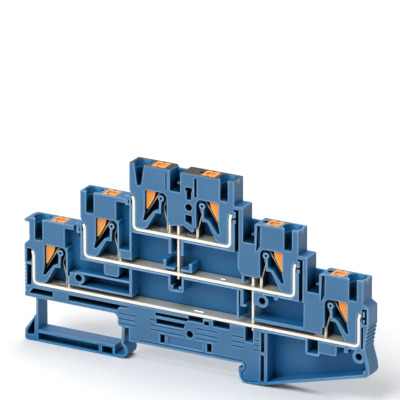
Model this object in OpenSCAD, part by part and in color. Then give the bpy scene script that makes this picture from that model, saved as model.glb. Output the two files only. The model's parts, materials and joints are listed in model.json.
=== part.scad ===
// Three-level push-in terminal block: one slice of a row on a 35 mm rail.
// X runs along the block, Y along the rail with the open side at -Y, Z up.
// The origin is the middle of the rail seat, on the top plane of the rail.

/* [Block] */
// pitch of the blocks along the rail
block_width = 5.2; // [5:0.1:7]
// wall in front of the clamp chambers
web = 0.55; // [0.5:0.05:0.8]
// closed wall at the back
back_wall = 0.65; // [0.5:0.05:0.9]
// depth of the open strips beside the left columns
strip_depth = 3; // [2:0.1:3.5]
// depth of the slots in the foot and its frame
pocket_depth = 2.4; // [1.8:0.1:3]
// depth of the grooves beside the columns
side_depth = 1; // [0.6:0.1:1.4]
// depth of the shallow lines
groove = 0.3; // [0.2:0.05:0.4]
// thickness of the thin ribs and ledges
rib = 0.6; // [0.5:0.05:0.7]

/* [Levels] */
// middle of the lowest bar above the rail
bar_z = 11.15; // [10.8:0.05:12]
// height from one level to the next
level_step = 10.4; // [10:0.1:11.5]
// spring post above the middle of its bar
post_rise = 9.95; // [9.6:0.05:10.4]
// column top above its spring post
top_rise = 8.5; // [8.2:0.1:10]

/* [Clamp positions] */
// spring post of the lower left clamp
lower_left_x = -37.4; // [-40:0.1:-37]
// spring post of the middle left clamp
middle_left_x = -21.7; // [-22.5:0.1:-21.5]
// spring post of the upper left clamp
upper_left_x = -6.8; // [-7.2:0.1:-6.6]
// spring post of the upper right clamp
upper_right_x = 5.5; // [5.3:0.1:6]
// spring post of the middle right clamp
middle_right_x = 24.5; // [24.3:0.1:25.5]
// spring post of the lower right clamp
lower_right_x = 43.6; // [43.4:0.1:46]

/* [Clamp cell] */
// spring post radius
post_r = 0.85; // [0.7:0.05:0.95]
// hole in the spring post
post_hole_r = 0.4; // [0.3:0.05:0.5]
// room round the spring loop
loop_room = 1.75; // [1.7:0.05:1.85]
// outer edge of the lever window from the post
window_u = 4.85; // [4.75:0.05:4.95]
// top edge of the lever window above the post
window_top = 1.65; // [1.6:0.05:1.8]
// pointed end of the window slot below the post
slot_drop = 6.95; // [6.7:0.05:7.1]
// outer edge of a column from its post
column_out = 9.5; // [9.4:0.05:9.8]

/* [Wire entry] */
// wire entry from the post
wire_u = 6.55; // [6.45:0.05:6.65]
// radius of the entry
entry_r = 2; // [1.9:0.05:2.1]
// width of the slot through the front wall of the entry
entry_slot = 2.3; // [2:0.1:2.6]
// width at the top of the slot in the upper left column, which tapers
taper_top = 3.1; // [2.6:0.1:3.3]
// width at the foot of that slot
taper_foot = 1.2; // [1:0.1:1.6]
// depth of the entry below the column top
entry_depth = 6; // [5.6:0.1:6.2]
// height of the funnel at the foot of the entry
funnel_h = 1.2; // [0.8:0.1:1.6]
// radius of the two ends of the oval mouth
mouth_r = 2.3; // [2.15:0.05:2.4]
// ends of the oval mouth from the middle of the entry
mouth_reach = 0.35; // [0.2:0.05:0.45]
// height of the mouth's slope
mouth_h = 2; // [1.6:0.1:2.4]
// radius of the guide below the entry
guide_r = 1.4; // [1.1:0.05:1.5]

/* [Levers] */
// length of the lever's head
lever_head = 4; // [3.6:0.1:4.1]
// radius of the notches in the lever's head
notch_r = 0.45; // [0.3:0.05:0.6]
// running gap of the lever in its channel
lever_gap = 0.12; // [0.08:0.01:0.2]
// travel of the lever when it is pressed
lever_travel = 1.8; // [1.4:0.1:2]
// tip of the lever below the post
lever_tip = 3.95; // [3.6:0.05:4.1]

/* [Springs] */
// thickness of the spring leaf
spring_t = 0.34; // [0.25:0.01:0.4]
// middle radius of the spring loop
loop_r = 1.3; // [1.25:0.01:1.35]
// gap beside the leaf, front and back
spring_gap = 0.3; // [0.2:0.05:0.5]

/* [Bars] */
// thickness of a bar
bar_t = 0.85; // [0.7:0.05:1]
// front edge of a bar behind the open side
bar_inset = 0.1; // [0.05:0.05:0.3]
// room round a bar
bar_room = 0.12; // [0.08:0.01:0.2]
// turned-up end of a bar from the post
upturn_u = 8.25; // [8.2:0.05:8.4]
// height of the turned-up end above the middle of the bar
upturn_rise = 9.15; // [8.8:0.05:9.3]
// radius of the bends, middle of the strip
bend_r = 1.2; // [0.8:0.05:1.4]
// thickness of the lanced spring tabs
tab_t = 0.55; // [0.45:0.05:0.65]
// height of the spring tabs above the middle of the bar
tab_rise = 3.2; // [2.8:0.1:3.4]
// front edge of the spring tabs behind the open side
tab_set = 1.05; // [0.9:0.05:1.3]
// width of the spring tabs along the rail
tab_w = 1.25; // [1:0.05:1.6]

/* [Level links] */
// place of the link from the upper bar to the middle bar
upper_link_x = -2; // [-2.3:0.1:-1.7]
// place of the link from the middle bar to the lower bar
lower_link_x = 20.3; // [20:0.1:20.5]
// thickness of a link
link_t = 0.7; // [0.6:0.05:0.8]
// width of a link along the rail
link_w = 2.2; // [1.6:0.1:2.4]
// front edge of a link behind the open side
link_set = 0.8; // [0.6:0.05:1]
// gap round a link in its bar
link_gap = 0.04; // [0.02:0.01:0.08]
// lower end of a link below its lower bar
link_below = 1.6; // [1.2:0.1:2]
// upper end of a link above its upper bar
link_above = 3; // [2.6:0.1:3.4]

/* [Rail foot] */
// width of the rail over its flanges
rail_w = 35; // [34.8:0.1:35.3]
// thickness of the rail
rail_t = 1; // [0.9:0.05:1.2]
// gap round the rail's flanges
rail_gap = 0.15; // [0.1:0.05:0.3]
// bottom of the feet below the rail's top plane
foot_drop = 5.3; // [5:0.1:6]
// reach of the right hook under the flange
hook_reach = 1.2; // [0.8:0.1:1.5]
// reach of the left latch under the flange
latch_reach = 0.5; // [0.3:0.1:0.6]
// thickness of the left latch
latch_t = 0.8; // [0.6:0.05:0.9]

/* [Side pegs] */
// radius of the pegs on the closed side
peg_r = 0.95; // [0.8:0.05:1]
// radial gap of a peg in the next block's hole
peg_gap = 0.05; // [0.03:0.01:0.1]
// length of the pegs
peg_l = 1.2; // [0.8:0.1:1.5]
// depth of the holes for the pegs
peg_hole_depth = 3; // [2:0.1:3.4]

/* [Hidden] */
$fn = 40;
// cuts run this far past a face, and joined pieces this far into each other
cut = 0.5;
lap = 0.1;
// steps of a rounded corner
steps = 5;

// depths along the rail
front = -block_width / 2;
back = block_width / 2;
web_y = front + web;
floor_y = back - back_wall;
strip_y = front + strip_depth;
pocket_y = front + pocket_depth;
side_y = front + side_depth;
hook_y = front + 1.2;
bar_front = front + bar_inset;
bar_back = floor_y - 0.2;
lever_front = web_y + lever_gap;
lever_back = floor_y - lever_gap;
spring_front = web_y + spring_gap;
spring_back = floor_y - spring_gap;
link_front = front + link_set;

// heights of bars, spring posts and column tops by level, 0 for the lowest
function level_z(i) = bar_z + i * level_step;
function post_z(i) = level_z(i) + post_rise;
function top_z(i) = post_z(i) + top_rise;

// each clamp: post, level, side (-1 left, 1 right)
left_x = [lower_left_x, middle_left_x, upper_left_x];
right_x = [lower_right_x, middle_right_x, upper_right_x];
clamps = [for (i = [0:2]) each [[left_x[i], i, -1], [right_x[i], i, 1]]];

// clamp cell, outward and up from the post
neck_drop = 4.2;
tip_drop = post_rise - upturn_rise;
base_drop = post_rise - 0.95;
room_drop = base_drop + 0.6;
tab_u = 1.7;
tab_room = 0.2;
wall_drop = post_rise - tab_rise - 0.35;
entry_foot = top_rise - entry_depth;

// lever, outward and up from the post
lever_in = 0.7;
neck_w = 4.3;
step_w = [3.5, 2.5];
step_u = 0.5;
wedge_u = 1.9;
wedge_top = window_top - lever_gap;
slope_top = wedge_top + 4.47;

// outer edges of the bodies
left_end = lower_left_x - 11;
right_end = lower_right_x + 11.1;
column_in_left = 1.4;
column_in_right = 3.4;
body_out_right = 12.2;
column_corner = 0.8;
shaft_x0 = upper_left_x + 2.7;
shaft_x1 = upper_right_x - 6.5;
shoulder = 1.7;
shaft_floor = 2.7;
shaft_back = 0.8;
ledge = bar_t / 2 + rib;
shelf = 1.2;

// feet
frame_x0 = lower_left_x - 7.6;
frame_x1 = -rail_w / 2 - 3.4;
frame_top = bar_z - 3.45;
tunnel_top = frame_top - rib;
sill = 1.95;
foot_x0 = -20;
foot_x1 = 24.4;
foot_rise = 3.7;
seat_x0 = -16.6;
hook_x = rail_w / 2 - hook_reach;
hook_r = 2.2;
hook_middle = [hook_x + 0.4 + hook_r, -foot_drop + hook_r];

// cup of the upper link below the middle bar
socket_x = upper_link_x - 0.3;
socket_half = 1.7;
socket_z = level_z(1) - 4.4;

// side pegs on the closed side, and their holes in the open side: x and z
peg_hole_r = peg_r + peg_gap;
pegs = [
    [lower_left_x + 5.55, bar_z + 3.95],
    [middle_right_x - 1.1, bar_z + 7.55],
    [upper_right_x - 4, post_z(2) - 1],
    [1.85, 5.4],
    [lower_right_x + 8.4, bar_z - 2.75]
];

// Profile drawn in XZ and given a depth from y0 to y1.
module lay(y0, y1) {
    translate([0, y1, 0])
        rotate([90, 0, 0])
            linear_extrude(y1 - y0)
                children();
}

// Rectangle from [x0, x1, z0, z1].
module box2(b) {
    translate([b[0], b[2]])
        square([b[1] - b[0], b[3] - b[2]]);
}

// Rectangle from [x0, x1, z0, z1] whose lower corners are rounded.
module cup2(b, r) {
    polygon(concat(
        [[b[0], b[3]]],
        arc(b[0] + r, b[2] + r, r, 180, 270, steps),
        arc(b[1] - r, b[2] + r, r, 270, 360, steps),
        [[b[1], b[3]]]
    ));
}

// Moves a profile drawn outward and up from a spring post to its clamp.
module at_clamp(c) {
    translate([c[0], post_z(c[1])])
        if (c[2] < 0) mirror([1, 0]) children();
        else children();
}

// Points of an arc.
function arc(x, z, r, a0, a1, n) =
    [for (k = [0:n]) [x + r * cos(a0 + (a1 - a0) * k / n), z + r * sin(a0 + (a1 - a0) * k / n)]];

// Outline of a strip of thickness t along a path, mitred at the corners.
function unit(v) = v / norm(v);
function turn(v) = [-v[1], v[0]];
function side_step(p, k) =
    let (
        n = len(p) - 1,
        a = turn(unit(p[min(k + 1, n)] - p[min(k, n - 1)])),
        b = turn(unit(p[max(k, 1)] - p[max(k - 1, 0)]))
    )
    (a + b) / (1 + a * b);
function strip(p, t) = concat(
    [for (k = [0:len(p) - 1]) p[k] + side_step(p, k) * t / 2],
    [for (k = [len(p) - 1:-1:0]) p[k] - side_step(p, k) * t / 2]
);

// Path of a bar from its left tip to its right tip; the tips lean outward.
function bar_path(i) =
    let (
        z = level_z(i),
        x0 = left_x[i] - upturn_u,
        x1 = right_x[i] + upturn_u,
        tip = 0.35,
        lean = 1.3,
        top = z + upturn_rise
    )
    concat(
        [[x0 - tip, top], [x0, top - lean]],
        arc(x0 + bend_r, z + bend_r, bend_r, 180, 270, steps),
        arc(x1 - bend_r, z + bend_r, bend_r, 270, 360, steps),
        [[x1, top - lean], [x1 + tip, top]]
    );

// Path of a spring from its free tip over the loop to its foot on the tab.
function spring_path() =
    let (
        tip = [upturn_u - bar_t / 2 - 0.35, -6.9],
        knee = [5.2, -5.87],
        loop_start = 32,
        loop_end = 200,
        kink = [-0.4, -2.65],
        foot_u = -tab_u + spring_t / 2 + 0.02,
        foot_lap = 0.2
    )
    concat(
        [tip, knee],
        arc(0, 0, loop_r, loop_start, loop_end, 12),
        [kink, [foot_u, -wall_drop - foot_lap], [foot_u, -base_drop - foot_lap]]
    );

// Outer profile of the block: three steps down on each side, then the feet.
module block_profile() {
    r = column_corner;
    left_side = [
        [left_end, tunnel_top],
        [left_end, post_z(0) + 0.9],
        [lower_left_x - column_out, post_z(0) + 2.3]
    ];
    left_steps = [
        for (i = [0:1]) each [
            [left_x[i] - column_out, top_z(i)],
            [left_x[i + 1] - column_out, top_z(i)]
        ]
    ];
    upper_steps = concat(
        [[upper_left_x - column_out, top_z(2)]],
        arc(shaft_x0 - r, top_z(2) - r, r, 90, 0, steps),
        [[shaft_x0, post_z(2) + shaft_floor], [shaft_x1, post_z(2) + shaft_floor]],
        arc(shaft_x1 + r, top_z(2) - r, r, 180, 90, steps)
    );
    right_steps = [
        for (i = [2:-1:1]) each concat(
            [
                [right_x[i] + column_out, top_z(i)],
                [right_x[i] + column_out, post_z(i) + shoulder],
                [right_x[i] + body_out_right, post_z(i) + shoulder],
                [right_x[i] + body_out_right, post_z(i - 1) + shaft_floor],
                [right_x[i - 1] - column_in_right, post_z(i - 1) + shaft_floor]
            ],
            arc(right_x[i - 1] - column_in_right + r, top_z(i - 1) - r, r, 180, 90, steps)
        )
    ];
    right_side = [
        [lower_right_x + column_out, top_z(0)],
        [lower_right_x + column_out, post_z(0) + 2.1],
        [right_end, post_z(0) + 1.1],
        [right_end, bar_z + 5.9],
        [right_end - 1, bar_z - 0.6],
        [right_end + 0.2, bar_z - 4.6],
        [right_end + 0.5, 4.2],
        [right_end - 0.5, 3],
        [foot_x1, -foot_drop + 0.6]
    ];
    polygon(concat(
        left_side,
        left_steps,
        upper_steps,
        right_steps,
        right_side,
        [[foot_x1, tunnel_top]]
    ));
    rail_foot_profile();
    left_frame_profile();
    // pointed lip at the outer left edge
    polygon([
        [lower_left_x - column_out, top_z(0)],
        [left_end, top_z(0) - 0.6],
        [left_end + 0.1, top_z(0) - 1.2],
        [lower_left_x - column_out, top_z(0) - 1.3]
    ]);
}

// Foot on the rail: the seat at z = 0 and the right hook under the flange.
module rail_foot_profile() {
    flange_x = rail_w / 2;
    flange_room = 0.1;
    relief = 0.4;
    hook_z = -rail_t - rail_gap;
    toe_r = 0.9;
    tunnel_r = 1.3;
    polygon(concat(
        [[foot_x0, frame_top]],
        arc(foot_x0 + toe_r, foot_rise + toe_r, toe_r, 180, 270, steps),
        [
            [seat_x0, foot_rise],
            [seat_x0, 0],
            [hook_x - relief, 0],
            [hook_x - relief, flange_room],
            [flange_x + rail_gap, flange_room],
            [flange_x + rail_gap, hook_z],
            [hook_x, hook_z]
        ],
        arc(hook_middle[0], hook_middle[1], hook_r, 190, 270, 2 * steps),
        [[foot_x1, -foot_drop + 0.6], [foot_x1, frame_top]]
    ));
    // rounded corner at the end of the tunnel
    polygon(concat(
        [[foot_x0 + lap, frame_top], [foot_x0 - tunnel_r, frame_top]],
        arc(foot_x0 - tunnel_r, tunnel_top - tunnel_r, tunnel_r, 90, 0, steps),
        [[foot_x0 + lap, tunnel_top - tunnel_r]]
    ));
}

// Frame below the lower left end, with the spring latch that hooks the left flange.
module left_frame_profile() {
    flange_x = -rail_w / 2;
    nose_r = 0.9;
    heel_r = 1.9;
    heel = [flange_x + latch_reach - latch_t / 2 - heel_r, -foot_drop + latch_t / 2 + heel_r];
    wing = 3.5;
    wing_r = 0.9;
    latch_path = concat(
        [[flange_x - 0.75, foot_rise + 0.3]],
        arc(flange_x - 0.2, -0.7, nose_r, 174, 225, steps),
        arc(heel[0], heel[1], heel_r, 45, -90, 2 * steps),
        [[frame_x1 - lap, heel[1] - heel_r]]
    );
    polygon(strip(latch_path, latch_t));
    box2([frame_x0, frame_x1, -foot_drop, -sill]);
    box2([frame_x0, frame_x0 + rib, -foot_drop, frame_top]);
    // slanted wing outside the frame
    polygon(concat(
        [[frame_x0 + lap, 2.6], [frame_x0, 2.6], [frame_x0 - wing + 0.1, -2.2]],
        arc(frame_x0 - wing + wing_r, -foot_drop + wing_r, wing_r, 180, 270, steps),
        [[frame_x0 + lap, -foot_drop]]
    ));
}

// Openings of one clamp in the open side: lever window, slot and spring room.
module clamp_opening() {
    slot_top = slot_drop - 2.35;
    slot_out = 0.55;
    tab_edge = tab_u + tab_t + tab_room;
    difference() {
        box2([-loop_room, window_u, -room_drop, window_top]);
        // rounded corner round the spring loop
        difference() {
            box2([-loop_room - cut, 0, 0, window_top + cut]);
            circle(loop_room);
        }
    }
    box2([-tab_edge, 0, -room_drop, -wall_drop]);
    polygon([
        [window_u, -slot_top],
        [window_u + slot_out, -slot_drop],
        [window_u - 1, -slot_drop],
        [window_u - 1, -slot_top]
    ]);
}

// Room behind the front wall of one clamp, out to the turned-up bar end.
module clamp_chamber() {
    box2([0, upturn_u + bar_t / 2 + bar_room, -room_drop, window_top]);
}

// Spring post with the neck and the slanted rib that stops the spring.
module spring_stop() {
    difference() {
        union() {
            circle(post_r);
            polygon([
                [0.5, 0],
                [0.55, 1.1 - neck_drop],
                [2.2, 0.4 - neck_drop],
                [window_u - 0.25, -slot_drop],
                [window_u, -slot_drop],
                [window_u, -base_drop],
                [4.3, -base_drop],
                [1.6, -neck_drop - 0.1],
                [0, -neck_drop],
                [0, -3],
                [-0.25, 0]
            ]);
        }
        circle(post_hole_r);
    }
}

// Outer side of a lever or its channel, from the top down to the window.
function lever_side(gap) =
    let (u = lever_head - lever_in + gap)
    [[u, neck_w], [u + step_u, step_w[0]], [u + step_u, step_w[1]]];

// Profile of a lever: head, shaft and the wedge that pushes the spring.
module lever_profile() {
    wedge_out = window_u - lever_gap;
    tip_l = 0.35;
    polygon(concat(
        [[-lever_in, top_rise], [lever_head - lever_in, top_rise]],
        lever_side(0),
        [
            [wedge_out, wedge_top],
            [wedge_out, -lever_tip + 0.25],
            [wedge_out - tip_l, -lever_tip],
            [wedge_u + 0.45, wedge_top - 2],
            [wedge_u, wedge_top],
            [-lever_in, slope_top]
        ]
    ));
}

// Channel of a lever through the column, with room for its travel.
module lever_channel() {
    polygon(concat(
        [[-lever_in - lever_gap, top_rise + cut], [lever_head - lever_in + lever_gap, top_rise + cut]],
        lever_side(lever_gap),
        [
            [window_u, window_top],
            [window_u, window_top - cut],
            [wedge_u - 0.9, window_top - cut],
            [-lever_in - lever_gap, slope_top - lever_travel - lever_gap]
        ]
    ));
}

// Wire entry: oval mouth, bore, funnel and the narrower guide into the clamp.
module wire_entry(c) {
    foot_z = post_z(c[1]) + entry_foot;
    guide_z = post_z(c[1]) + window_top - cut;
    translate([c[0] + c[2] * wire_u, 0, 0]) {
        translate([0, 0, guide_z])
            cylinder(h = foot_z + cut - guide_z, r = guide_r);
        translate([0, 0, foot_z])
            cylinder(h = funnel_h, r1 = guide_r, r2 = entry_r);
        translate([0, 0, foot_z + funnel_h])
            cylinder(h = entry_depth - funnel_h + cut, r = entry_r);
        translate([0, 0, top_z(c[1]) - mouth_h])
            entry_mouth();
    }
}

// Mouth of a wire entry: a slope that widens the bore to an oval.
module entry_mouth() {
    start_r = entry_r + 0.05;
    for (s = [-1, 1])
        translate([s * mouth_reach, 0, 0]) {
            cylinder(h = mouth_h, r1 = start_r, r2 = mouth_r);
            translate([0, 0, mouth_h])
                cylinder(h = cut, r = mouth_r);
        }
    translate([-mouth_reach, 0, 0])
        rotate([90, 0, 90])
            linear_extrude(2 * mouth_reach)
                polygon([
                    [-start_r, 0],
                    [-mouth_r, mouth_h],
                    [-mouth_r, mouth_h + cut],
                    [mouth_r, mouth_h + cut],
                    [mouth_r, mouth_h],
                    [start_r, 0]
                ]);
}

// Slot through the front wall of a wire entry; the upper left one tapers.
module entry_slit(c) {
    slit_r = 0.5;
    half = entry_slot / 2;
    top = top_rise + cut;
    if (c[1] == 2 && c[2] < 0)
        polygon([
            [wire_u - taper_foot / 2, entry_foot],
            [wire_u - taper_top / 2, top],
            [wire_u + taper_top / 2, top],
            [wire_u + taper_foot / 2, entry_foot]
        ]);
    else
        cup2([wire_u - half, wire_u + half, entry_foot, top], slit_r);
}

// Bays and pockets of the open side that reach the back wall.
module deep_pockets() {
    slit_top = 1.5;
    bay_left = upper_left_x - 8.9;
    bay_right = lower_link_x - 2.95;
    box_left = upper_left_x - 9.6;
    end_left = left_end + rib + 0.1;
    end_gap = 8.9;
    // slits along the tops of the bars and the bays between the levels
    for (i = [0:2])
        box2([left_x[i] + loop_room, right_x[i] - loop_room, level_z(i) - bar_t / 2, level_z(i) + slit_top]);
    polygon([
        [bay_left, level_z(1)],
        [bay_left, level_z(2) - ledge],
        [bay_right - 1.15, level_z(2) - ledge],
        [bay_right - 1.15, level_z(1) + 5],
        [bay_right, level_z(1) + 3.4],
        [bay_right, level_z(1)]
    ]);
    box2([bay_left + 0.1, upper_right_x + 10.4, level_z(0), level_z(1) - ledge]);
    // recess under the block between the upper clamps
    polygon([
        [upper_left_x + 1.9, level_z(2)],
        [upper_left_x + 1.9, level_z(2) + link_above - 0.3],
        [upper_link_x + 2, level_z(2) + link_above + 0.6],
        [upper_right_x - 3, level_z(2) + 2.1],
        [upper_right_x - 1.7, level_z(2) + 3],
        [upper_right_x - 1.7, level_z(2)]
    ]);
    // slot of the upper link through the ledge
    box2([upper_link_x - 1.7, upper_link_x + 1.1, level_z(1), level_z(2)]);
    lower_link_pockets();
    // pocket between the lower link and the lower right clamp
    box2([lower_link_x + 0.4, lower_right_x - 7.9, level_z(0) + 2.4, level_z(1) - ledge]);
    // box on the left between the lower and the middle bar
    box2([lower_left_x + 4, box_left, level_z(0) + 2.1, level_z(0) + 5.2]);
    box2([middle_left_x - 2.4, box_left, level_z(0) + 5.8, level_z(1) - ledge]);
    // pockets outside the turned-up ends of the lower bar
    box2([end_left, lower_left_x - end_gap, bar_z - 0.7, bar_z + 5.2]);
    box2([end_left, lower_left_x - end_gap, bar_z + 5.9, bar_z + 9.7]);
    box2([lower_right_x + 9.2, right_end - 0.5, bar_z + 6.5, bar_z + 10.7]);
    box2([lower_right_x + 9, right_end - 1.5, bar_z - 0.4, bar_z + 5.6]);
    // pocket under the right end of the lower bar
    polygon([
        [foot_x1 + rib, -foot_drop + 1.5],
        [right_end - 1.2, 3.7],
        [right_end - 0.5, 5.2],
        [right_end - 1.6, bar_z - ledge],
        [foot_x1 + rib, bar_z - ledge]
    ]);
    // pocket in the wing of the frame
    polygon([
        [frame_x0 - 0.5, 1.3],
        [frame_x0 - 2.7, -2.6],
        [frame_x0 - 2.6, -3.7],
        [frame_x0 - 0.5, -3.5]
    ]);
    lower_left_pockets();
}

// Slots round the lower link: beside its rib, behind it and below the lower bar.
module lower_link_pockets() {
    rib_x = [lower_link_x - 3.35, lower_link_x - 2.45];
    rib_z = level_z(0) + 5;
    slot_x = lower_link_x + 0.5;
    box2([rib_x[0] - 0.45, rib_x[0], rib_z - cut, level_z(1) - ledge]);
    box2([rib_x[0] - 0.45, slot_x, level_z(0), rib_z]);
    box2([rib_x[1], slot_x, rib_z - cut, level_z(1)]);
    box2([lower_link_x - 1.9, slot_x, bar_z - 4.6, level_z(0)]);
    box2([lower_link_x - 2.3, middle_right_x - loop_room, level_z(1), level_z(1) + link_above + 0.3]);
}

// Pockets under the left end of the lower bar; the right one runs out in a slit.
module lower_left_pockets() {
    z0 = bar_z - 3;
    z1 = bar_z - 1.4;
    half = 2.4;
    slit_x = foot_x0 + 3;
    slit_h = 0.45;
    bow = z1 - slit_h - z0;
    polygon([
        [left_end + 1.3, z0],
        [lower_left_x - half, z0],
        [lower_left_x - half, z1],
        [lower_left_x - 8.4, z1]
    ]);
    polygon(concat(
        [[lower_left_x + half, z1], [lower_left_x + half, z0]],
        arc(foot_x0 + bow, z0, bow, 180, 90, steps),
        [[slit_x, z1 - slit_h], [slit_x, z1]]
    ));
}

// Strips beside the two lower left columns, closed above by a shelf.
module strip_pockets() {
    for (i = [0:1]) {
        next_x = left_x[i + 1] - column_out;
        box2([left_x[i] + column_in_left, next_x, post_z(i) + 1.9, top_z(i) - shelf]);
        box2([left_x[i] + loop_room + 0.45, next_x, post_z(i) - 5.9, post_z(i) + 2]);
    }
    box2([lower_left_x + 2.2, middle_left_x - 2.3, level_z(0) + 5.8, level_z(1) - ledge]);
}

// Gaps between the end of each shelf and the next column.
module shelf_gaps() {
    shelf_x = 4.1;
    gap_h = 4;
    for (i = [0:1])
        box2([left_x[i] + shelf_x, left_x[i + 1] - column_out, top_z(i) - gap_h, top_z(i) + cut]);
}

// Hook plate outside the tip of a bar on the left, with a notch.
module left_hook() {
    difference() {
        box2([column_out - lap, column_out + 1.2, -3.6, -0.8]);
        box2([column_out - 0.2, column_out + 0.4, -3.1, -2]);
    }
}

// Two nubs outside the tip of a bar on the right.
module right_nubs() {
    nub = 0.5;
    for (w = [[-3.1, -2.2], [-1.5, 0.1]])
        box2([column_out, column_out + nub, w[0], w[1]]);
}

// Room on the outer side of a bar tip.
module tip_room() {
    box2([upturn_u, column_out - 0.4, -3, 0.35 - tip_drop]);
}

// Notches beside a bar tip: above the hook on the left, through the wall on the right.
module hook_notch(c) {
    if (c[2] < 0 && c[1] > 0) {
        box2([column_out - 0.3, column_out + 1.6, -0.8, 0.2]);
        box2([column_out - 0.3, column_out + 0.4, 0.1, 0.6]);
    }
    if (c[2] > 0)
        box2([upturn_u, column_out + 0.3, -2.1, -1.6]);
}

// Narrow slots outside the turned-up ends on the right.
module end_slots() {
    slot_u = [9.7, 10.9];
    slot_w = [-1, 10.7];
    for (i = [1:2]) {
        box2([right_x[i] + slot_u[0], right_x[i] + slot_u[1], level_z(i) + slot_w[0], level_z(i) + slot_w[1]]);
        box2([right_x[i] + slot_u[0] - 0.4, right_x[i] + slot_u[1], post_z(i) + 0.2, level_z(i) + slot_w[1]]);
    }
}

// Small stops in the shafts between the columns, on the wall to their right.
module shaft_stops() {
    stop_l = 1.1;
    stop_h = 0.6;
    stop_w = post_rise - 4.6;
    walls = [
        [shaft_x1, 2],
        [middle_right_x - column_in_right, 1],
        [lower_right_x - column_in_right, 0]
    ];
    for (w = walls)
        box2([w[0] - stop_l, w[0] + cut, post_z(w[1]) + stop_w - stop_h, post_z(w[1]) + stop_w]);
}

// Raised pieces that stand in the pockets, flush with the open side.
module raised_pieces() {
    boss_r = 1.85;
    for (c = clamps)
        at_clamp(c) spring_stop();
    for (c = clamps)
        if (c[2] > 0) at_clamp(c) right_nubs();
    // bosses round three of the peg holes, and one at the lower right end
    for (k = [0, 1, 4])
        translate(pegs[k]) circle(boss_r);
    translate([right_end - 0.5, 4.1]) circle(0.9);
    box2([lower_left_x + 2.9, pegs[0][0], bar_z + 2.1, bar_z + 5.2]);
    box2([lower_link_x + 0.5, pegs[1][0], pegs[1][1] - 1.4, level_z(1) - ledge]);
    // foot of the rib beside the lower link
    box2([lower_link_x - 2.5, lower_link_x - 1.7, level_z(0) + 5, level_z(0) + 5.7]);
    // round tab under the middle left clamp, and the nub under the middle right one
    cup2([middle_left_x - 2.4, middle_left_x + 2.2, level_z(0) + 6.3, level_z(1) - ledge + lap], 0.9);
    cup2([middle_right_x + 2.4, middle_right_x + 3.6, level_z(1) - ledge - 0.8, level_z(1) - ledge + lap], 0.4);
    link_socket();
    link_saddle();
    // frame round the dark pocket and the tabs under the lower right clamp
    cup2([lower_right_x - 7.3, lower_right_x - 3.1, bar_z - 4.9, bar_z - ledge + lap], 0.7);
    cup2([lower_right_x - 3.2, lower_right_x + 1.9, bar_z - 3.9, bar_z - ledge + lap], 0.7);
    box2([lower_right_x + 4.1, lower_right_x + 5.2, bar_z - 2.3, bar_z - ledge + lap]);
}

// Cup round the lower end of the upper link.
module link_socket() {
    half = socket_half + rib;
    cup2([socket_x - half, socket_x + half, socket_z - rib, level_z(1) - bar_t / 2], 0.8);
}

// Stepped slot in that cup, open up through the ledge of the middle bar.
module socket_slot() {
    foot_half = 0.9;
    step_h = 1.1;
    box2([socket_x - socket_half, socket_x + socket_half, socket_z + step_h, level_z(1)]);
    box2([socket_x - foot_half, socket_x + foot_half, socket_z, socket_z + step_h + lap]);
}

// Saddle of the upper link above the middle bar: two walls, and a bracket on each side.
module link_saddle() {
    wall = 0.85;
    wall_z = [level_z(1) + 5.5, level_z(2) - bar_t / 2];
    bracket_x = [0.9, 4.3];
    bracket_z = [level_z(1) + 1.1, level_z(1) + 3.6];
    box2([upper_link_x - 1.7 - wall, upper_link_x - 1.7, wall_z[0], wall_z[1]]);
    box2([upper_link_x + 1.1, upper_link_x + 1.1 + wall, wall_z[0], wall_z[1]]);
    for (s = [0, 1])
        translate([upper_link_x + 0.2, 0])
            mirror([s, 0]) {
                box2([bracket_x[0], bracket_x[1], bracket_z[0], bracket_z[0] + rib]);
                box2([bracket_x[1] - wall, bracket_x[1], bracket_z[0], bracket_z[1]]);
            }
}

// Closed backs of the shafts between the columns.
module shaft_backs() {
    box2([shaft_x0 - cut, shaft_x1 + cut, post_z(2) + shaft_floor - cut, top_z(2) - shaft_back]);
    for (i = [1:2])
        box2([
            right_x[i] + body_out_right - cut,
            right_x[i - 1] - column_in_right + cut,
            post_z(i - 1) + shaft_floor - cut,
            top_z(i - 1) - shaft_back
        ]);
}

// Pocket in the frame under the lower right clamp.
module frame_pocket() {
    box2([lower_right_x - 6.7, lower_right_x - 3.6, bar_z - 4.3, bar_z - bar_t / 2]);
}

// Slots in the foot and in the frame on its left.
module foot_pockets() {
    bow_r = 6;
    frame_z = -sill - 0.8;
    // two long slots that end in a bow beside the peg hole
    difference() {
        union() {
            box2([-8.3, 1, 6.6, 8]);
            box2([-8.5, 1.6, 8.8, 9.7]);
        }
        translate([pegs[3][0] + 4.05, pegs[3][1]]) circle(bow_r);
    }
    // notches under the lower bar
    box2([1.4, 5.8, 9.2, bar_z - bar_t / 2]);
    box2([6.1, 7.6, 8.8, 9.9]);
    box2([8.8, 13.8, 8.9, bar_z - bar_t / 2]);
    // small windows over the seat
    for (x = [-7.1, 7])
        box2([x, x + 1.4, 1.4, 3.8]);
    box2([frame_x0 + rib, frame_x0 + 19.2, -foot_drop + rib, frame_z]);
    box2([frame_x0 + 20.2, frame_x0 + 23.4, -foot_drop + 0.5, frame_z]);
}

// Slots of the block between the upper clamps, in line with its peg hole.
module upper_slots() {
    x = pegs[2][0];
    z = post_z(2);
    box2([x - 1, x + 1, z + 3.4, z + 4.5]);
    box2([x - 0.6, x + 0.8, z + 1.1, z + 3.5]);
    box2([x + 1.7, x + 2.4, z + 2.1, z + 7.4]);
    polygon([
        [x - 1, z - 5],
        [x - 1, z - 3.2],
        [x + 0.8, z - 3.2],
        [x + 1, z - 3.6],
        [x + 1, z - 5.8],
        [x + 0.3, z - 5.6]
    ]);
}

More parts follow.
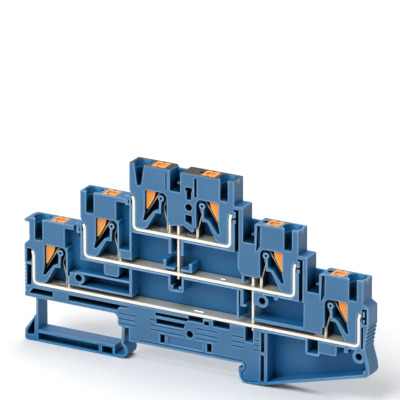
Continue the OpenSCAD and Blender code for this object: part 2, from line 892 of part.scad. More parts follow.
// Shallow lines in the foot, and the rim that follows the seat and the hook.
module shallow_grooves() {
    line = 0.4;
    line_z = [4.45, 5.75, 7.25];
    line_x = [[-19.5, -14.4], [-10, -0.1], [3.6, 10.2], [14.5, 18.2], [21, 22.8]];
    rim_z = 0.85;
    rim_r = 1.5;
    rim_set = 0.75;
    rim_x = rail_w / 2 - 0.3;
    rim_path = concat(
        [[-13, rim_z]],
        arc(rim_x, rim_z - rim_r, rim_r, 90, -50, 2 * steps),
        arc(hook_middle[0], hook_middle[1], hook_r - rim_set, 165, 270, 2 * steps),
        [[foot_x1 - 2.2, -foot_drop + rim_set + 0.4]]
    );
    for (z = line_z, x = line_x)
        box2([x[0], x[1], z, z + line]);
    polygon(strip(rim_path, line));
    box2([-4.6, 5.6, 1.5, foot_rise]);
    box2([upper_left_x + 1.3, upper_left_x + 1.8, post_z(2) + shaft_floor, top_z(2) - 1]);
}

// Grooves beside the levers of the two lower right columns, with a slanted lower end.
module column_grooves() {
    u = [-2.6, -1.7];
    for (i = [0:1])
        polygon([
            [right_x[i] + u[0], top_z(i) - 0.6],
            [right_x[i] + u[1], top_z(i) - 0.6],
            [right_x[i] + u[1], post_z(i) + 2.6],
            [right_x[i] + u[0], post_z(i) + 1],
            [right_x[i] + u[0] - 0.3, post_z(i) + 0.7]
        ]);
}

// Slits through the right foot.
module foot_slits() {
    slit_x = [foot_x1 - 1.3, foot_x1 - 0.3];
    box2([slit_x[0], slit_x[1], 4.3, bar_z - 1.3]);
    cup2([slit_x[0] - lap, slit_x[1], -4, 3.5], 0.3);
}

// Fine ribs across the two ends.
module end_grooves() {
    pitch = 1.1;
    size = 0.45;
    slant = 0.16;
    for (k = [0:7])
        translate([left_end, 0, bar_z - 2.4 + k * pitch])
            rotate([0, 45, 0])
                cube([size, block_width + 2 * cut, size], center = true);
    for (k = [0:4])
        translate([right_end - lap - k * slant, 0, bar_z + 5.2 - k * pitch])
            rotate([0, 45, 0])
                cube([size, block_width + 2 * cut, size], center = true);
}

module bar_channels() {
    for (i = [0:2])
        lay(front - cut, bar_back + bar_room)
            polygon(strip(bar_path(i), bar_t + 2 * bar_room));
}

// Half-round recess beside the lever on the right columns.
module lever_recess(c) {
    recess_r = 0.95;
    recess_h = 2.2;
    translate([c[0] - lever_in - 0.5, (web_y + floor_y) / 2, top_z(c[1]) - recess_h])
        cylinder(h = recess_h + cut, r = recess_r);
}

// Bar of one level: strip with turned-up ends, lanced tabs with the windows they leave,
// slots for the links and a raised bead on the lower two bars.
module bus_bar(i) {
    tab_y0 = front + tab_set;
    tab_y1 = tab_y0 + tab_w;
    lance = tab_rise + 0.3;
    lance_gap = 0.08;
    links = i == 0 ? [lower_link_x] : i == 1 ? [upper_link_x, lower_link_x] : [upper_link_x];
    color([0.8, 0.79, 0.75])
        difference() {
            union() {
                lay(bar_front, bar_back) polygon(strip(bar_path(i), bar_t));
                for (c = [clamps[2 * i], clamps[2 * i + 1]])
                    lay(tab_y0, tab_y1)
                        at_clamp(c)
                            box2([-tab_u - tab_t, -tab_u, -post_rise, -post_rise + tab_rise]);
                if (i < 2) bead(i);
            }
            for (c = [clamps[2 * i], clamps[2 * i + 1]])
                translate([
                    c[0] - (c[2] > 0 ? tab_u + tab_t : -tab_u) - lance,
                    tab_y0 - lance_gap,
                    level_z(i) - bar_t
                ])
                    cube([lance, tab_w + 2 * lance_gap, 2 * bar_t]);
            for (x = links)
                translate([x, link_front + link_w / 2, level_z(i)])
                    cube([link_t + 2 * link_gap, link_w + 2 * link_gap, 2 * bar_t], center = true);
        }
}

// Raised bead on a bar: a long one on the lower bar, a short one on the middle bar.
module bead(i) {
    bead_r = 0.3;
    bead_x = [2.3, 10.2][i];
    bead_l = [2.9, 1.4][i];
    bead_set = 1.8;
    translate([bead_x, front + bead_set, level_z(i) + bar_t / 2 - bead_r / 4])
        rotate([0, 90, 0])
            cylinder(h = bead_l, r = bead_r);
}

module clamp_spring(c) {
    color([0.62, 0.6, 0.55])
        lay(spring_front, spring_back)
            at_clamp(c)
                polygon(strip(spring_path(), spring_t));
}

// Lever with half-round notches and a shallow seat for a blade in its head.
module release_lever(c) {
    notch_h = 0.9;
    seat_h = 0.4;
    seat_l = lever_head - 1.6;
    seat_w = (lever_back - lever_front) / 2;
    middle_x = c[0] + c[2] * (lever_head / 2 - lever_in);
    color([0.93, 0.55, 0.2])
        difference() {
            lay(lever_front, lever_back)
                at_clamp(c)
                    lever_profile();
            for (y = [lever_front, lever_back])
                translate([middle_x, y, top_z(c[1]) - notch_h])
                    cylinder(h = notch_h + cut, r = notch_r);
            translate([middle_x, (lever_front + lever_back) / 2, top_z(c[1])])
                cube([seat_l, seat_w, 2 * seat_h], center = true);
        }
}

// Link strip at x from the bar of one level up through the bar of the next.
module level_link(x, i) {
    z0 = level_z(i) - link_below;
    z1 = level_z(i + 1) + link_above;
    color([0.85, 0.84, 0.8])
        translate([x - link_t / 2, link_front, z0])
            cube([link_t, link_w, z1 - z0]);
}

module housing() {
    color([0.31, 0.5, 0.68])
        difference() {
            union() {
                difference() {
                    lay(front, back) block_profile();
                    for (c = clamps) {
                        lay(front - cut, floor_y) at_clamp(c) clamp_opening();
                        lay(web_y, floor_y) at_clamp(c) clamp_chamber();
                        lay(front - cut, strip_y) at_clamp(c) hook_notch(c);
                    }
                    lay(front - cut, floor_y) deep_pockets();
                    lay(front - cut, floor_y) end_slots();
                    lay(front - cut, floor_y) upper_slots();
                    lay(front - cut, strip_y) strip_pockets();
                    lay(front - cut, floor_y) shelf_gaps();
                    lay(front - cut, pocket_y) foot_pockets();
                    lay(front - cut, side_y) column_grooves();
                    lay(front - cut, front + groove) shallow_grooves();
                }
                lay(front, floor_y + lap) raised_pieces();
                for (c = [clamps[2], clamps[4]])
                    lay(front, hook_y) at_clamp(c) left_hook();
                lay(floor_y, back) shaft_backs();
                lay(front + cut, floor_y + lap) shaft_stops();
                for (p = pegs)
                    translate([p[0], back - lap, p[1]])
                        rotate([-90, 0, 0])
                            cylinder(h = peg_l + lap, r = peg_r);
            }
            lay(front - cut, back + cut) foot_slits();
            lay(front - cut, floor_y) frame_pocket();
            lay(front - cut, floor_y) socket_slot();
            bar_channels();
            for (c = clamps) {
                wire_entry(c);
                lay(front - cut, 0) at_clamp(c) entry_slit(c);
                lay(front - cut, bar_back + bar_room) at_clamp(c) tip_room();
                lay(web_y, floor_y) at_clamp(c) lever_channel();
                if (c[2] > 0) lever_recess(c);
            }
            for (p = pegs)
                translate([p[0], front - cut, p[1]])
                    rotate([-90, 0, 0])
                        cylinder(h = peg_hole_depth + cut, r = peg_hole_r);
            end_grooves();
        }
}

module lower_bus_bar() { bus_bar(0); }
module middle_bus_bar() { bus_bar(1); }
module upper_bus_bar() { bus_bar(2); }
module lower_left_spring() { clamp_spring(clamps[0]); }
module lower_right_spring() { clamp_spring(clamps[1]); }
module middle_left_spring() { clamp_spring(clamps[2]); }
module middle_right_spring() { clamp_spring(clamps[3]); }
module upper_left_spring() { clamp_spring(clamps[4]); }
module upper_right_spring() { clamp_spring(clamps[5]); }
module lower_left_lever() { release_lever(clamps[0]); }
module lower_right_lever() { release_lever(clamps[1]); }
module middle_left_lever() { release_lever(clamps[2]); }
module middle_right_lever() { release_lever(clamps[3]); }
module upper_left_lever() { release_lever(clamps[4]); }
module upper_right_lever() { release_lever(clamps[5]); }
module upper_level_link() { level_link(upper_link_x, 1); }
module lower_level_link() { level_link(lower_link_x, 0); }

housing();
lower_bus_bar();
middle_bus_bar();
upper_bus_bar();
lower_left_spring();
lower_right_spring();
middle_left_spring();
middle_right_spring();
upper_left_spring();
upper_right_spring();
lower_left_lever();
lower_right_lever();
middle_left_lever();
middle_right_lever();
upper_left_lever();
upper_right_lever();
upper_level_link();
lower_level_link();
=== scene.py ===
"""Looks of a three-level push-in terminal block: edge rounds, finishes, light and camera."""

import json
import math

import bmesh
import bpy
import numpy as np
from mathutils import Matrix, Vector
from mathutils.geometry import delaunay_2d_cdt


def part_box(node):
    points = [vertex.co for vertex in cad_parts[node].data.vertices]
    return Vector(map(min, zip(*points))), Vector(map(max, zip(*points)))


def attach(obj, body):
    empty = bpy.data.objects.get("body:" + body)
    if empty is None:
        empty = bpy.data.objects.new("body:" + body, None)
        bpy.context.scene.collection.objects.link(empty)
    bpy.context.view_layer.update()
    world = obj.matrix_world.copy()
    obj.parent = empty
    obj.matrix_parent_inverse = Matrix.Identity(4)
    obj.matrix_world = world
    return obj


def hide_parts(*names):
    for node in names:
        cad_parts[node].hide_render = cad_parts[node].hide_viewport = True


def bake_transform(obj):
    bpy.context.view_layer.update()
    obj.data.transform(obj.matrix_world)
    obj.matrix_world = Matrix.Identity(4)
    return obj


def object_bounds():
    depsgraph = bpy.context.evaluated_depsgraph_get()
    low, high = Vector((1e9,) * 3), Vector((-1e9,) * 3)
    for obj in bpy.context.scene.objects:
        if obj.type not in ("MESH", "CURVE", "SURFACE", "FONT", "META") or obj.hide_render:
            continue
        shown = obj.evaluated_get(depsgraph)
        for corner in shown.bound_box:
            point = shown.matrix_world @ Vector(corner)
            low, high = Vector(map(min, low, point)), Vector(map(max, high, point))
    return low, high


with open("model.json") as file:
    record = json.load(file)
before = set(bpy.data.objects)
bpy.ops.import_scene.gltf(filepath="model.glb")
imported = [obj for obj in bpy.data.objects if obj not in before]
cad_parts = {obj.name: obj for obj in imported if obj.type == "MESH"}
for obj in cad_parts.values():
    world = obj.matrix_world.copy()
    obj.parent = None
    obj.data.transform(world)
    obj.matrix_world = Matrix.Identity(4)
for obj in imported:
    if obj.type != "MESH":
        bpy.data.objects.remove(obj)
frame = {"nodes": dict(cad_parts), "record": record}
cad_low, cad_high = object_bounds()

MM = 0.001

# Camera: the open side is seen from the front right and from above.
AZIMUTH = math.radians(28.8)
ELEVATION = math.radians(20)
# Lens and sensor in millimetres, picture width in pixels, its scale, and the pixel of the foot's seat
LENS = 600
SENSOR = 36
IMAGE = 400
PIXELS_PER_MM = 3.79
SEAT_PIXEL = (183.6, 352.2)
# Nearest and farthest place in view, as shares of the camera's distance
CLIP = (0.1, 10)

# Edges that turn more than this are rounded, and faces that turn less than this are one flat face.
SHARP = math.radians(28)
FLAT = math.radians(1)
# Distance within which points are one, and within which a point lies in a plane
WELD = 0.002 * MM
PLANE = 0.0005 * MM
# A round takes at most this share of the room that its faces leave.
ROOM_SHARE = 0.42
# Room of an edge that nothing limits, and the corner angle from which a neighbour doesn't limit it
FREE_ROOM = 1.0
STRAIGHT = math.radians(150)
# Faces across a round, and the material index that marks them
ROUND_STEPS = 2
ROUND_INDEX = 1
# Distance in millimetres within which border points are one when a face is filled
FILL_WELD = 1e-6
# Least squared length of a segment, and least length of a summed normal
LEAST_SQUARE = 1e-18
LEAST_NORMAL = 1e-12

# Width of the rounds on each kind of piece
HOUSING_ROUND = 0.1 * MM
LEVER_ROUND = 0.14 * MM
BAR_ROUND = 0.1 * MM
SPRING_ROUND = 0.06 * MM

# Distance from a spring's foot at which its leg starts to follow the lever, and at which it follows fully
LEG_REACH = (2.3 * MM, 3.9 * MM)
LEG_CUTS = 5
# Distance from the foot at which the painted shade on the long leg starts, and at which it is full
LEG_SHADE = (3.1 * MM, 4.4 * MM)

# Lowest and highest corner of the painted shade in the gap beside a left bar tip: along, behind the front and
# up from the tip
GAP_SHADE = (Vector((-2.45, 0.3, -5.3)) * MM, Vector((-0.3, 4.6, -1.15)) * MM)

# Lowest and highest corner of the painted shade in a wire entry, from the middle of its bore, and in a shaft,
# from its floor
ENTRY = (Vector((-2.1, -2.46, -2.6)) * MM, Vector((2.1, 2.1, 2.4)) * MM)
SHAFT = (Vector((-1.85, -2.06, -0.2)) * MM, Vector((1.85, 2.6, 4.6)) * MM)
# The painted shade deepens with depth: the darkest share, and the part of the depth at which it is reached.
DEPTH_SHADE = 0.88
DEPTH_FULL = 0.62
# A box mask fades over this span of its half size.
BOX_FADE = (0.97, 1.03)

# Colours of open faces and of deep places; the blue of open faces is lighter by a painted sheen, and the
# colours of deep places are painted shade
BLUE = (0.057, 0.162, 0.312)
SHADED_BLUE = (0.012, 0.128, 0.315)
PRINT = (0.022, 0.017, 0.013)
# Paler print along edges: a painted highlight, partly rubbed print
PRINT_RUB_AND_HIGHLIGHT = (0.16, 0.12, 0.08)
ORANGE = (0.84, 0.31, 0.07)
SHADED_ORANGE = (0.8, 0.25, 0.04)
TIN = (0.84, 0.82, 0.765)
# Painted shade of the bars in hollows
SHADED_TIN = (0.73, 0.66, 0.53)
STEEL = (0.62, 0.56, 0.46)
# Painted shade of the springs in hollows and on the long leg
SHADED_STEEL = (0.05, 0.045, 0.04)

# Tints of the painted highlight along outer edges
BLUE_EDGE_HIGHLIGHT = (3.6, 2.35, 1.85)
ORANGE_EDGE_HIGHLIGHT = (1.15, 1.6, 2.4)

# How far walls are searched for around a place, for bays, narrow chambers and edges, and by how many rays
HOLLOW_REACH = 8 * MM
CHAMBER_REACH = 3.5 * MM
EDGE_REACH = 0.55 * MM
ROOM_RAYS = 16
# Room at which a place counts as closed, and at which it counts as open
BAY_ROOM = (0.55, 1)
CHAMBER_ROOM = (0.17, 0.58)
EDGE_ROOM = (0.5, 0.95)
METAL_ROOM = (0.6, 0.9)
# Share of the deep colour that is left in the chambers, as their darker painted shade
HOLLOW_SHADE = 0.09

# Span of noise values that a finish uses, and the octaves of coarse and of fine noise
NOISE_SPAN = (0.3, 0.7)
CLOUD_DETAIL = 3
FINE_DETAIL = 2

# Plastic: clouds in cells per millimetre and their shades
PLASTIC_CLOUD = 0.12
PLASTIC_SHADES = (0.95, 1.05)
# Its grain in cells per millimetre, the change of roughness with it, and its relief
GRAIN = 9
GRAIN_ROUGHNESS = (-0.05, 0.06)
GRAIN_HEIGHT = 0.006 * MM
GRAIN_STRENGTH = 0.5
# Its surface
PLASTIC_IOR = 1.5
PLASTIC_GLOSS = 0.2
HOUSING_ROUGHNESS = 0.42
LEVER_ROUGHNESS = 0.38

# Dark print: depth below the top over which it starts, its patches in cells per millimetre, and their shades
PRINT_DEPTH = (0.16 * MM, 0.1 * MM)
PRINT_PATCH = 1.1
PRINT_SHADES = (0.8, 1.5)

# Metal: clouds in cells per millimetre and their shades
METAL_CLOUD = 0.5
METAL_SHADES = (0.9, 1.06)
# Its rolling lines in cells per millimetre, drawn out along X, the change of roughness and their relief
LINES = 4
LINE_STRETCH = (0.05, 1, 1)
LINE_ROUGHNESS = (-0.07, 0.1)
LINE_HEIGHT = 0.003 * MM
LINE_STRENGTH = 0.2
# Surfaces of the bars and the springs
TIN_ROUGHNESS = 0.45
TIN_METALLIC = 0.6
STEEL_ROUGHNESS = 0.35
STEEL_METALLIC = 1

# Square lamps: side in metres, and each one's place and power
LAMP_SIDE = 1.2
LAMPS = {
    "key": ((-0.3, -1.1, 1.6), 28),
    "top": ((0.1, 0.7, 2), 18),
    "fill": ((-1.4, -1.3, 0.6), 6),
}
# Strength of the even light, and the floor's side in metres, tone and roughness
SURROUND_LIGHT = 0.25
WHITE = (1, 1, 1)
FLOOR_SIDE = 6
FLOOR_TONE = 0.95
FLOOR_ROUGHNESS = 0.7


def frame_front():
    """The plane of the open side."""
    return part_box("housing")[0].y


def points_to_segments(points, starts, ends):
    """Distance from each point to the segment beside it in the list."""
    along = ends - starts
    square = np.maximum((along * along).sum(-1), LEAST_SQUARE)
    share = np.clip(((points - starts) * along).sum(-1) / square, 0, 1)
    return np.linalg.norm(points - starts - share[..., None] * along, axis=-1)


def corner_room(edge, other, corner):
    """Room for a round on an edge whose neighbour meets it at a corner."""
    a = edge.other_vert(corner).co - corner.co
    b = other.other_vert(corner).co - corner.co
    angle = a.angle(b, math.pi)
    if angle > STRAIGHT:
        return FREE_ROOM
    return min(a.length, b.length) * math.tan(angle / 2)


def edge_room(bm):
    """The widest round that each sharp edge has room for, by edge index."""
    room = {e.index: FREE_ROOM for e in bm.edges if e.calc_face_angle(0) > SHARP}
    for face in bm.faces:
        edges = list(face.edges)
        starts = np.array([e.verts[0].co for e in edges])
        ends = np.array([e.verts[1].co for e in edges])
        for k, edge in enumerate(edges):
            if edge.index not in room:
                continue
            gap = np.minimum.reduce([
                points_to_segments(starts[k], starts, ends),
                points_to_segments(ends[k], starts, ends),
                points_to_segments(starts, starts[k], ends[k]),
                points_to_segments(ends, starts[k], ends[k]),
            ])
            for j, other in enumerate(edges):
                shared = set(edge.verts) & set(other.verts)
                if j == k:
                    gap[j] = FREE_ROOM
                elif shared:
                    gap[j] = corner_room(edge, other, shared.pop())
            room[edge.index] = min(room[edge.index], gap.min())
    return room


def weighted_solid(node, width, cuts):
    """The node's solid with joined flat faces, and each sharp edge's share of the round as its weight."""
    bm = bmesh.new()
    bm.from_mesh(frame["nodes"][node].data)
    bmesh.ops.remove_doubles(bm, verts=bm.verts, dist=WELD)
    bmesh.ops.dissolve_limit(bm, angle_limit=FLAT, verts=bm.verts, edges=bm.edges)
    for x in cuts:
        everything = bm.verts[:] + bm.edges[:] + bm.faces[:]
        bmesh.ops.bisect_plane(bm, geom=everything, dist=WELD, plane_co=(x, 0, 0), plane_no=(1, 0, 0))
    bm.edges.index_update()
    room = edge_room(bm)
    weight = bm.edges.layers.float.new("bevel_weight_edge")
    for edge in bm.edges:
        if edge.index in room:
            edge[weight] = min(1.0, ROOM_SHARE * room[edge.index] / width)
    mesh = bpy.data.meshes.new(node + "_solid")
    bm.to_mesh(mesh)
    bm.free()
    return mesh


def rounded(mesh, width):
    """The mesh with its rounds, whose faces carry the second material index."""
    for _ in range(ROUND_INDEX + 1):
        mesh.materials.append(None)
    piece = bpy.data.objects.new("rounding", mesh)
    bpy.context.scene.collection.objects.link(piece)
    rounds = piece.modifiers.new("rounds", "BEVEL")
    rounds.limit_method = "WEIGHT"
    rounds.width = width
    rounds.segments = ROUND_STEPS
    rounds.use_clamp_overlap = False
    rounds.loop_slide = False
    rounds.material = ROUND_INDEX
    graph = bpy.context.evaluated_depsgraph_get()
    made = bpy.data.meshes.new_from_object(piece.evaluated_get(graph))
    bpy.data.objects.remove(piece)
    bpy.data.meshes.remove(mesh)
    return made


def flat_regions(bm):
    """Sets of touching faces that lie in one plane, each with its normal; rounds are left out."""
    taken = set()
    regions = []
    for seed in sorted(bm.faces, key=lambda face: -face.calc_area()):
        if seed in taken or seed.material_index == ROUND_INDEX:
            continue
        normal = seed.normal.copy()
        point = seed.verts[0].co.copy()
        region = {seed}
        queue = [seed]
        while queue:
            for edge in queue.pop().edges:
                for other in edge.link_faces:
                    if other in region or other in taken or other.material_index == ROUND_INDEX:
                        continue
                    if all(abs((v.co - point).dot(normal)) < PLANE for v in other.verts):
                        region.add(other)
                        queue.append(other)
        taken |= region
        regions.append((region, normal))
    return regions


def inside(points, starts, ends):
    """Which points lie inside a border, by counting the border lines to their right."""
    x, y = points[:, 0, None], points[:, 1, None]
    level = (starts[:, 1] > y) != (ends[:, 1] > y)
    rise = np.where(ends[:, 1] == starts[:, 1], 1, ends[:, 1] - starts[:, 1])
    cross = starts[:, 0] + (y - starts[:, 1]) * (ends[:, 0] - starts[:, 0]) / rise
    return (level & (cross > x)).sum(1) % 2 == 1


def refill(bm, region, normal):
    """Fills a flat region anew from its border, with a point where the border crosses itself."""
    border = [e for f in region for e in f.edges if sum(g in region for g in e.link_faces) == 1]
    corners = list({v for e in border for v in e.verts})
    index = {v: k for k, v in enumerate(corners)}
    across = normal.orthogonal().normalized()
    along = normal.cross(across)
    flat = [Vector((v.co.dot(across), v.co.dot(along))) / MM for v in corners]
    pairs = [(index[e.verts[0]], index[e.verts[1]]) for e in border]
    points, _, tiles, sources, _, _ = delaunay_2d_cdt(flat, pairs, [], 0, FILL_WELD)
    level = normal * corners[0].co.dot(normal)
    spots = np.array(points)
    middles = np.array([spots[list(tile)].mean(0) for tile in tiles])
    ends = np.array([[flat[a], flat[b]] for a, b in pairs])
    bmesh.ops.delete(bm, geom=list(region), context="FACES")
    places = [
        corners[source[0]] if source else bm.verts.new(level + (across * spot.x + along * spot.y) * MM)
        for source, spot in zip(sources, points)
    ]
    made = set()
    for tile, kept in zip(tiles, inside(middles, ends[:, 0], ends[:, 1])):
        if kept:
            made.add(bm.faces.new([places[k] for k in tile]))
    return made


def set_normals(mesh, regions):
    """Flat faces shade flat and the rounds between them shade round."""
    total = np.zeros((len(mesh.vertices), 3))
    for corners, normal, area in regions:
        total[corners] += np.array(normal) * area
    for k in np.flatnonzero(np.linalg.norm(total, axis=1) < LEAST_NORMAL):
        total[k] = mesh.vertices[k].normal
    total /= np.linalg.norm(total, axis=1)[:, None]
    mesh.shade_smooth()
    mesh.normals_split_custom_set_from_vertices(total.tolist())


def rounded_piece(node, width, material, cuts=()):
    """A copy of a node's solid with rounded edges, which stands for the node."""
    mesh = rounded(weighted_solid(node, width, cuts), width)
    bm = bmesh.new()
    bm.from_mesh(mesh)
    regions = []
    for region, normal in flat_regions(bm):
        if len(region) > 1 or any(len(f.verts) > 4 for f in region):
            region = refill(bm, region, normal)
        regions.append((region, normal))
    bm.normal_update()
    for region, normal in regions:
        for face in region:
            if face.normal.dot(normal) < 0:
                face.normal_flip()
    bm.verts.index_update()
    flats = [
        (list({v.index for f in region for v in f.verts}), normal, sum(f.calc_area() for f in region))
        for region, normal in regions
    ]
    for face in bm.faces:
        face.material_index = 0
    bm.to_mesh(mesh)
    bm.free()
    mesh.name = node + "_finish"
    mesh.materials.clear()
    mesh.materials.append(material)
    set_normals(mesh, flats)
    piece = bpy.data.objects.new(node + "_finish", mesh)
    bpy.context.scene.collection.objects.link(piece)
    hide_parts(node)
    return piece


def shade(colour, factor=1):
    """A colour made lighter or darker, with full cover."""
    return (*(c * factor for c in colour), 1)


class Tree:
    """The nodes of a material or a world, and short calls that add to them."""

    def __init__(self, owner):
        owner.use_nodes = True
        self.nodes = owner.node_tree.nodes
        self.links = owner.node_tree.links

    def add(self, kind, **settings):
        """A new node with its settings."""
        made = self.nodes.new(kind)
        for key, value in settings.items():
            setattr(made, key, value)
        return made

    def link(self, source, target):
        """Joins two sockets, or sets the target where the source is a plain value."""
        if hasattr(source, "is_output"):
            self.links.new(source, target)
        else:
            target.default_value = source

    def maximum(self, a, b):
        """The larger of two values."""
        made = self.add("ShaderNodeMath", operation="MAXIMUM")
        self.link(a, made.inputs[0])
        self.link(b, made.inputs[1])
        return made.outputs["Value"]


class Finish(Tree):
    """A new material with its shader, and the masks and colours that it is made of."""

    def __init__(self, name):
        self.material = bpy.data.materials.new(name)
        super().__init__(self.material)
        self.shader = self.nodes["Principled BSDF"]
        self.place = self.add("ShaderNodeTexCoord").outputs["Object"]

    def set(self, name, value):
        """Sets or links one of the shader's own sockets."""
        self.link(value, self.shader.inputs[name])

    def noise(self, scale, detail=CLOUD_DETAIL, stretch=(1, 1, 1)):
        """Noise whose scale is in cells per millimetre along each axis."""
        mapping = self.add("ShaderNodeMapping")
        mapping.inputs["Scale"].default_value = [scale * s / MM for s in stretch]
        self.link(self.place, mapping.inputs["Vector"])
        made = self.add("ShaderNodeTexNoise")
        made.inputs["Scale"].default_value = 1
        made.inputs["Detail"].default_value = detail
        self.link(mapping.outputs["Vector"], made.inputs["Vector"])
        return made.outputs["Fac"]

    def ramp(self, value, span, to=(0, 1)):
        """A value with its span stretched to another one and held at its ends."""
        made = self.add("ShaderNodeMapRange")
        self.link(value, made.inputs["Value"])
        for key, number in zip(("From Min", "From Max", "To Min", "To Max"), (*span, *to)):
            made.inputs[key].default_value = number
        return made.outputs["Result"]

    def mix(self, factor, a, b, blend="MIX"):
        """Colour a, blended with colour b by a factor."""
        made = self.add("ShaderNodeMix", data_type="RGBA", blend_type=blend)
        for key, source in (("Factor", factor), ("A", a), ("B", b)):
            self.link(source, made.inputs[key])
        return made.outputs["Result"]

    def axes(self, vector):
        """The X, Y and Z of a vector."""
        made = self.add("ShaderNodeSeparateXYZ")
        self.link(vector, made.inputs["Vector"])
        return made.outputs

    def room(self, reach, inside=False):
        """How open a place is, from 0 in a deep corner to 1 on a free face."""
        made = self.add("ShaderNodeAmbientOcclusion", samples=ROOM_RAYS, inside=inside, only_local=inside)
        made.inputs["Distance"].default_value = reach
        return made.outputs["AO"]

    def edge(self):
        """1 along the outer edges of a piece and 0 away from them, the mask of a painted highlight."""
        return self.ramp(self.room(EDGE_REACH, inside=True), EDGE_ROOM, (1, 0))

    def box(self, low, high):
        """1 inside a box of the block and 0 outside it."""
        steps = (("SUBTRACT", (low + high) / 2), ("DIVIDE", (high - low) / 2), ("ABSOLUTE", None))
        share = self.place
        for operation, value in steps:
            made = self.add("ShaderNodeVectorMath", operation=operation)
            self.link(share, made.inputs[0])
            if value is not None:
                made.inputs[1].default_value = value
            share = made.outputs["Vector"]
        x, y, z = self.axes(share)
        return self.ramp(self.maximum(self.maximum(x, y), z), BOX_FADE, (1, 0))

    def painted(self, name):
        """A value that the mesh carries."""
        return self.add("ShaderNodeAttribute", attribute_name=name).outputs["Fac"]

    def bump(self, height, distance, strength):
        """Fine relief on the whole surface."""
        made = self.add("ShaderNodeBump")
        made.inputs["Distance"].default_value = distance
        made.inputs["Strength"].default_value = strength
        self.link(height, made.inputs["Height"])
        self.set("Normal", made.outputs["Normal"])

    def vary_roughness(self, pattern, roughness, change):
        """Roughness that follows a pattern around its middle value."""
        self.set("Roughness", self.ramp(pattern, NOISE_SPAN, [roughness + step for step in change]))


def moulded_plastic(n, colour, shade_colour, edge_highlight, roughness):
    """Makes a finish matte, and gives its colour: open faces lighter by a painted sheen, painted shade in
    bays, darker painted shade in chambers, and a painted highlight along outer edges.
    """
    low, high = PLASTIC_SHADES
    cloud = n.ramp(n.noise(PLASTIC_CLOUD), NOISE_SPAN)
    unshaded = n.mix(cloud, shade(colour, low), shade(colour, high))
    # Painted shade in bays, where walls close in
    bay_shaded = n.mix(n.ramp(n.room(HOLLOW_REACH), BAY_ROOM), shade(shade_colour), unshaded)
    chamber = n.ramp(n.room(CHAMBER_REACH), CHAMBER_ROOM)
    # Darker painted shade in narrow chambers
    shaded = n.mix(chamber, shade(shade_colour, HOLLOW_SHADE), bay_shaded)
    grain = n.noise(GRAIN, FINE_DETAIL)
    n.vary_roughness(grain, roughness, GRAIN_ROUGHNESS)
    n.bump(grain, GRAIN_HEIGHT, GRAIN_STRENGTH)
    n.set("IOR", PLASTIC_IOR)
    n.set("Specular IOR Level", PLASTIC_GLOSS)
    # Painted highlight: the colour is lightened along outer edges
    return n.mix(n.edge(), shaded, shade(edge_highlight), "MULTIPLY")


def sunk_spaces():
    """Lowest and highest corner of the painted shade in each wire entry and bridge shaft."""
    for mount in frame["record"]["mounts"]:
        for ending, corners in (("wire_entry", ENTRY), ("bridge_shaft", SHAFT)):
            if mount["name"].endswith(ending):
                yield [Vector(mount["pos_m"]) + corner for corner in corners]


def tip_gap_shades():
    """Lowest and highest corner of the painted shade in the gap beside each left bar tip that has one."""
    for bar in ("middle_bus_bar", "upper_bus_bar"):
        low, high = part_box(bar)
        yield [Vector((low.x, frame_front(), high.z)) + corner for corner in GAP_SHADE]


def dark_print(n):
    """Colour of the print: dark patches, paler along its edges by a painted highlight and partly by rubbing.
    """
    low, high = PRINT_SHADES
    patches = n.ramp(n.noise(PRINT_PATCH), NOISE_SPAN)
    ink = n.mix(patches, shade(PRINT, low), shade(PRINT, high))
    return n.mix(n.edge(), ink, shade(PRINT_RUB_AND_HIGHLIGHT))


def housing_plastic():
    """Blue plastic with painted shade in its depths, and the dark print on the top faces of the upper
    columns.
    """
    n = Finish("blue_moulding")
    tint = moulded_plastic(n, BLUE, SHADED_BLUE, BLUE_EDGE_HIGHLIGHT, HOUSING_ROUGHNESS)
    height = n.axes(n.place)["Z"]
    darkest = shade(SHADED_BLUE, HOLLOW_SHADE)
    # Painted shade in wire entries and bridge shafts, darker further down
    for low, high in sunk_spaces():
        full = high.z + (low.z - high.z) * DEPTH_FULL
        depth = n.ramp(height, (high.z, full), (0, DEPTH_SHADE))
        tint = n.mix(n.box(low, high), tint, n.mix(depth, tint, darkest))
    # Painted shade in the gaps beside the left bar tips
    for low, high in tip_gap_shades():
        tint = n.mix(n.box(low, high), tint, darkest)
    on_top = n.ramp(height, [cad_high.z - below for below in PRINT_DEPTH])
    n.set("Base Color", n.mix(on_top, tint, dark_print(n)))
    return n.material


def lever_plastic():
    """Orange plastic of the levers."""
    n = Finish("orange_moulding")
    n.set("Base Color", moulded_plastic(n, ORANGE, SHADED_ORANGE, ORANGE_EDGE_HIGHLIGHT, LEVER_ROUGHNESS))
    return n.material


def plated_metal(name, colour, shade_colour, roughness, metallic):
    """Rolled strip with faint lines along the block, with painted shade in hollows and on long spring legs.
    """
    n = Finish(name)
    low, high = METAL_SHADES
    unshaded = n.mix(n.noise(METAL_CLOUD), shade(colour, low), shade(colour, high))
    # Painted shade in hollows
    shaded = n.mix(n.ramp(n.room(HOLLOW_REACH), METAL_ROOM), shade(shade_colour), unshaded)
    # Painted shade on a spring's long leg, by its leg value
    n.set("Base Color", n.mix(n.painted("leg"), shaded, shade(shade_colour)))
    n.set("Metallic", metallic)
    lines = n.noise(LINES, FINE_DETAIL, LINE_STRETCH)
    n.vary_roughness(lines, roughness, LINE_ROUGHNESS)
    n.bump(lines, LINE_HEIGHT, LINE_STRENGTH)
    return n.material


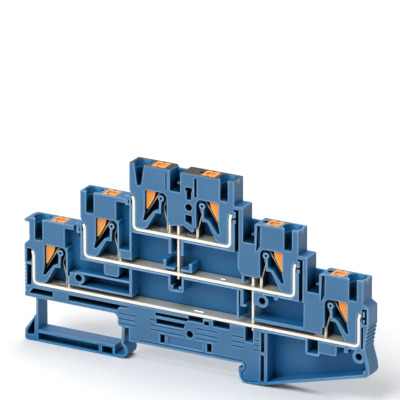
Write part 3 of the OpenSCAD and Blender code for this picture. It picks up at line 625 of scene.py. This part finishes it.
def spring_piece(node, width, material):
    """A clamp spring, cut across where its long leg bends to follow the lever; its foot and loop stay as they
    are.
    """
    low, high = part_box(node)
    foot, side = (low.x, 1) if "right" in node else (high.x, -1)
    start, end = (foot + side * reach for reach in LEG_REACH)
    cuts = [start + (end - start) * k / LEG_CUTS for k in range(LEG_CUTS + 1)]
    piece = rounded_piece(node, width, material, cuts)
    # The leg value marks the painted shade on the long leg
    leg = piece.data.attributes.new("leg", "FLOAT", "POINT")
    near, far = LEG_SHADE
    for vertex in piece.data.vertices:
        reach = side * (vertex.co.x - foot)
        leg.data[vertex.index].value = min(max((reach - near) / (far - near), 0), 1)
    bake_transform(piece)


def dress_nodes():
    """Each node gets its rounded piece with the finish of its material slot."""
    slots = {row["node"]: row["material_slot"] for row in frame["record"]["subparts"]}
    bodies = frame["record"]["behaviour"]["bodies"]
    body_of = {node: body for body, members in bodies.items() for node in members}
    tin = plated_metal("tin_plating", TIN, SHADED_TIN, TIN_ROUGHNESS, TIN_METALLIC)
    steel = plated_metal("spring_steel_finish", STEEL, SHADED_STEEL, STEEL_ROUGHNESS, STEEL_METALLIC)
    finishes = {
        "blue_housing": (HOUSING_ROUND, housing_plastic()),
        "orange_lever": (LEVER_ROUND, lever_plastic()),
        "tinned_copper": (BAR_ROUND, tin),
        "spring_steel": (SPRING_ROUND, steel),
    }
    for node, slot in slots.items():
        width, material = finishes[slot]
        if slot == "spring_steel":
            spring_piece(node, width, material)
        else:
            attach(rounded_piece(node, width, material), body_of[node])


def surround():
    """An even soft light, which the camera, reflections and clear matter see as white."""
    world = bpy.data.worlds.new("surround")
    bpy.context.scene.world = world
    tree = Tree(world)
    light = tree.nodes["Background"]
    light.inputs["Color"].default_value = shade(WHITE)
    light.inputs["Strength"].default_value = SURROUND_LIGHT
    seen = tree.add("ShaderNodeBackground")
    seen.inputs["Color"].default_value = shade(WHITE)
    rays = tree.add("ShaderNodeLightPath").outputs
    direct = tree.maximum(rays["Is Camera Ray"], rays["Is Glossy Ray"])
    mix = tree.add("ShaderNodeMixShader")
    tree.link(tree.maximum(direct, rays["Is Transmission Ray"]), mix.inputs["Fac"])
    tree.link(light.outputs["Background"], mix.inputs[1])
    tree.link(seen.outputs["Background"], mix.inputs[2])
    tree.link(mix.outputs["Shader"], tree.nodes["World Output"].inputs["Surface"])


def lamp(name, place, power):
    """A square lamp that shines at the middle of the block."""
    data = bpy.data.lights.new(name, "AREA")
    data.shape = "SQUARE"
    data.size = LAMP_SIDE
    data.energy = power
    made = bpy.data.objects.new(name, data)
    made.location = place
    made.rotation_mode = "QUATERNION"
    made.rotation_quaternion = ((cad_low + cad_high) / 2 - Vector(place)).to_track_quat("-Z", "Y")
    bpy.context.scene.collection.objects.link(made)


def pale_floor():
    """A plain floor under the feet, which keeps the shadow."""
    bpy.ops.mesh.primitive_plane_add(size=FLOOR_SIDE, location=(0, 0, cad_low.z))
    floor = bpy.context.active_object
    floor.name = "floor"
    n = Finish("pale_floor")
    n.set("Base Color", shade(WHITE, FLOOR_TONE))
    n.set("Roughness", FLOOR_ROUGHNESS)
    floor.data.materials.append(n.material)


def studio():
    """White surround, soft lamps and pale floor, with colours shown as they are."""
    bpy.context.scene.view_settings.view_transform = "Standard"
    surround()
    for name, (place, power) in LAMPS.items():
        lamp(name, place, power)
    pale_floor()


def camera():
    """A long lens, set so that the seat of the foot falls on its pixel."""
    back = Vector((
        math.sin(AZIMUTH) * math.cos(ELEVATION),
        -math.cos(AZIMUTH) * math.cos(ELEVATION),
        math.sin(ELEVATION),
    ))
    right = Vector((math.cos(AZIMUTH), math.sin(AZIMUTH), 0))
    up = back.cross(right)
    seat = Vector((0, frame_front(), 0))
    half = IMAGE / 2
    aim = seat + (right * (half - SEAT_PIXEL[0]) + up * (SEAT_PIXEL[1] - half)) * MM / PIXELS_PER_MM
    data = bpy.data.cameras.new("camera")
    data.lens = LENS
    data.sensor_width = SENSOR
    distance = IMAGE * LENS / SENSOR / PIXELS_PER_MM * MM
    data.clip_start, data.clip_end = (distance * share for share in CLIP)
    made = bpy.data.objects.new("camera", data)
    made.location = aim + back * distance
    made.rotation_mode = "QUATERNION"
    made.rotation_quaternion = (-back).to_track_quat("-Z", "Y")
    bpy.context.scene.collection.objects.link(made)
    bpy.context.scene.camera = made


dress_nodes()
studio()
camera()
